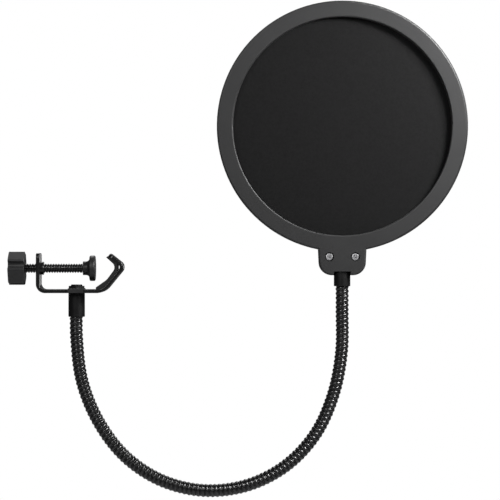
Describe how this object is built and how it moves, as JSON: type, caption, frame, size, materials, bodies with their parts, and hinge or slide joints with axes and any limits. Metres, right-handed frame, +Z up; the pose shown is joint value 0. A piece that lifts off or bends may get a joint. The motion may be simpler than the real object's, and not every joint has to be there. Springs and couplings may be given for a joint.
{
  "type": "pop filter",
  "caption": "Round mesh screen in a moulded ring on a bendable gooseneck, with a screw clamp that grips a microphone stand's tube.",
  "frame": {"origin": "where the clamp screw's axis meets the hook's lined seat", "axes": "+X along the clamp screw from knob to hook, +Z up, -Y the way the screen faces at rest"},
  "size_m": [0.2837, 0.0204, 0.3068],
  "materials": {
    "strip_paint": "gloss black powder coat",
    "nut_steel": "black oxide",
    "liner_rubber": "satin black",
    "washer_steel": "dark grey coat",
    "ferrule_paint": "satin black paint",
    "hose_steel": "black coated spring wire",
    "pad_plastic": "matte black",
    "screw_steel": "black coated thread",
    "knob_plastic": "matte black, finely textured",
    "ring_plastic": "matte black, fine moulded grain",
    "spacer_plastic": "matte black",
    "mesh_fabric": "fine black woven nylon",
    "tab_screw_steel": "bright zinc plate"
  },
  "bodies": {
    "bracket": {"clamp_bracket": "strip_paint", "clamp_nut": "nut_steel", "hook_liner": "liner_rubber", "neck_cradle_washer": "washer_steel", "neck_hex_nut": "nut_steel", "neck_stud": "nut_steel", "base_ferrule": "ferrule_paint", "gooseneck_section_00": "hose_steel"},
    "pad": {"pressure_pad": "pad_plastic"},
    "screw": {"clamp_screw": "screw_steel", "clamp_knob": "knob_plastic"},
    "hose_01": {"gooseneck_section_01": "hose_steel"},
    "hose_02": {"gooseneck_section_02": "hose_steel"},
    "hose_03": {"gooseneck_section_03": "hose_steel"},
    "hose_04": {"gooseneck_section_04": "hose_steel"},
    "hose_05": {"gooseneck_section_05": "hose_steel"},
    "hose_06": {"gooseneck_section_06": "hose_steel"},
    "hose_07": {"gooseneck_section_07": "hose_steel"},
    "hose_08": {"gooseneck_section_08": "hose_steel"},
    "hose_09": {"gooseneck_section_09": "hose_steel"},
    "hose_10": {"gooseneck_section_10": "hose_steel"},
    "hose_11": {"gooseneck_section_11": "hose_steel"},
    "head": {"gooseneck_section_12": "hose_steel", "top_ferrule": "ferrule_paint", "front_ring": "ring_plastic", "rear_ring": "ring_plastic", "mesh_spacer_ring": "spacer_plastic", "front_mesh": "mesh_fabric", "rear_mesh": "mesh_fabric", "tab_screws": "tab_screw_steel"}
  },
  "joints": [
    {"name": "pad_feed", "type": "slide", "parent": "bracket", "child": "pad", "axis": [1, 0, 0], "range_m": [-0.0225, 0.0045]},
    {"name": "screw_spin", "type": "hinge", "parent": "pad", "child": "screw", "pos_m": [-0.0184, 0, 0], "axis": [1, 0, 0], "range_deg": [-5066, 1016]},
    {"name": "neck_swing", "type": "hinge", "parent": "bracket", "child": "hose_01", "pos_m": [-0.0237, 0, -0.04351], "axis": [1, 0, 0], "range_deg": [-30, 30]},
    {"name": "neck_lower_bend", "type": "hinge", "parent": "hose_01", "child": "hose_02", "pos_m": [-0.02023, 0, -0.07023], "axis": [0, -1, 0], "range_deg": [-18, 3]},
    {"name": "neck_lower_bend_2", "type": "hinge", "parent": "hose_02", "child": "hose_03", "pos_m": [-0.01002, 0, -0.09516], "axis": [0, -1, 0], "range_deg": [-18.1, 3.1]},
    {"name": "neck_lower_bend_3", "type": "hinge", "parent": "hose_03", "child": "hose_04", "pos_m": [0.00639, 0, -0.11652], "axis": [0, -1, 0], "range_deg": [-18.1, 3.1]},
    {"name": "neck_lower_bend_4", "type": "hinge", "parent": "hose_04", "child": "hose_05", "pos_m": [0.02883, 0, -0.13132], "axis": [0, -1, 0], "range_deg": [-18.1, 3.1]},
    {"name": "neck_lower_bend_5", "type": "hinge", "parent": "hose_05", "child": "hose_06", "pos_m": [0.05498, 0, -0.13752], "axis": [0, -1, 0], "range_deg": [-18.1, 3.1]},
    {"name": "neck_upper_bend", "type": "hinge", "parent": "hose_06", "child": "hose_07", "pos_m": [0.08168, 0, -0.13438], "axis": [0, -1, 0], "range_deg": [-22, 3]},
    {"name": "neck_upper_bend_2", "type": "hinge", "parent": "hose_07", "child": "hose_08", "pos_m": [0.10568, 0, -0.12227], "axis": [0, -1, 0], "range_deg": [-22.1, 3.1]},
    {"name": "neck_upper_bend_3", "type": "hinge", "parent": "hose_08", "child": "hose_09", "pos_m": [0.12407, 0, -0.10265], "axis": [0, -1, 0], "range_deg": [-22.1, 3.1]},
    {"name": "neck_upper_bend_4", "type": "hinge", "parent": "hose_09", "child": "hose_10", "pos_m": [0.13514, 0, -0.0781], "axis": [0, -1, 0], "range_deg": [-22.1, 3.1]},
    {"name": "neck_upper_bend_5", "type": "hinge", "parent": "hose_10", "child": "hose_11", "pos_m": [0.14023, 0, -0.05162], "axis": [0, -1, 0], "range_deg": [-22.1, 3.1]},
    {"name": "head_tilt", "type": "hinge", "parent": "hose_11", "child": "head", "pos_m": [0.1406, 0, -0.02461], "axis": [1, 0, 0], "range_deg": [-35, 35]}
  ],
  "couplings": [
    {"joint": "screw_spin", "follows": "pad_feed", "rad_per_m": 3927},
    {"joint": "neck_lower_bend_2", "follows": "neck_lower_bend", "ratio": 1},
    {"joint": "neck_lower_bend_3", "follows": "neck_lower_bend", "ratio": 1},
    {"joint": "neck_lower_bend_4", "follows": "neck_lower_bend", "ratio": 1},
    {"joint": "neck_lower_bend_5", "follows": "neck_lower_bend", "ratio": 1},
    {"joint": "neck_upper_bend_2", "follows": "neck_upper_bend", "ratio": 1},
    {"joint": "neck_upper_bend_3", "follows": "neck_upper_bend", "ratio": 1},
    {"joint": "neck_upper_bend_4", "follows": "neck_upper_bend", "ratio": 1},
    {"joint": "neck_upper_bend_5", "follows": "neck_upper_bend", "ratio": 1}
  ]
}
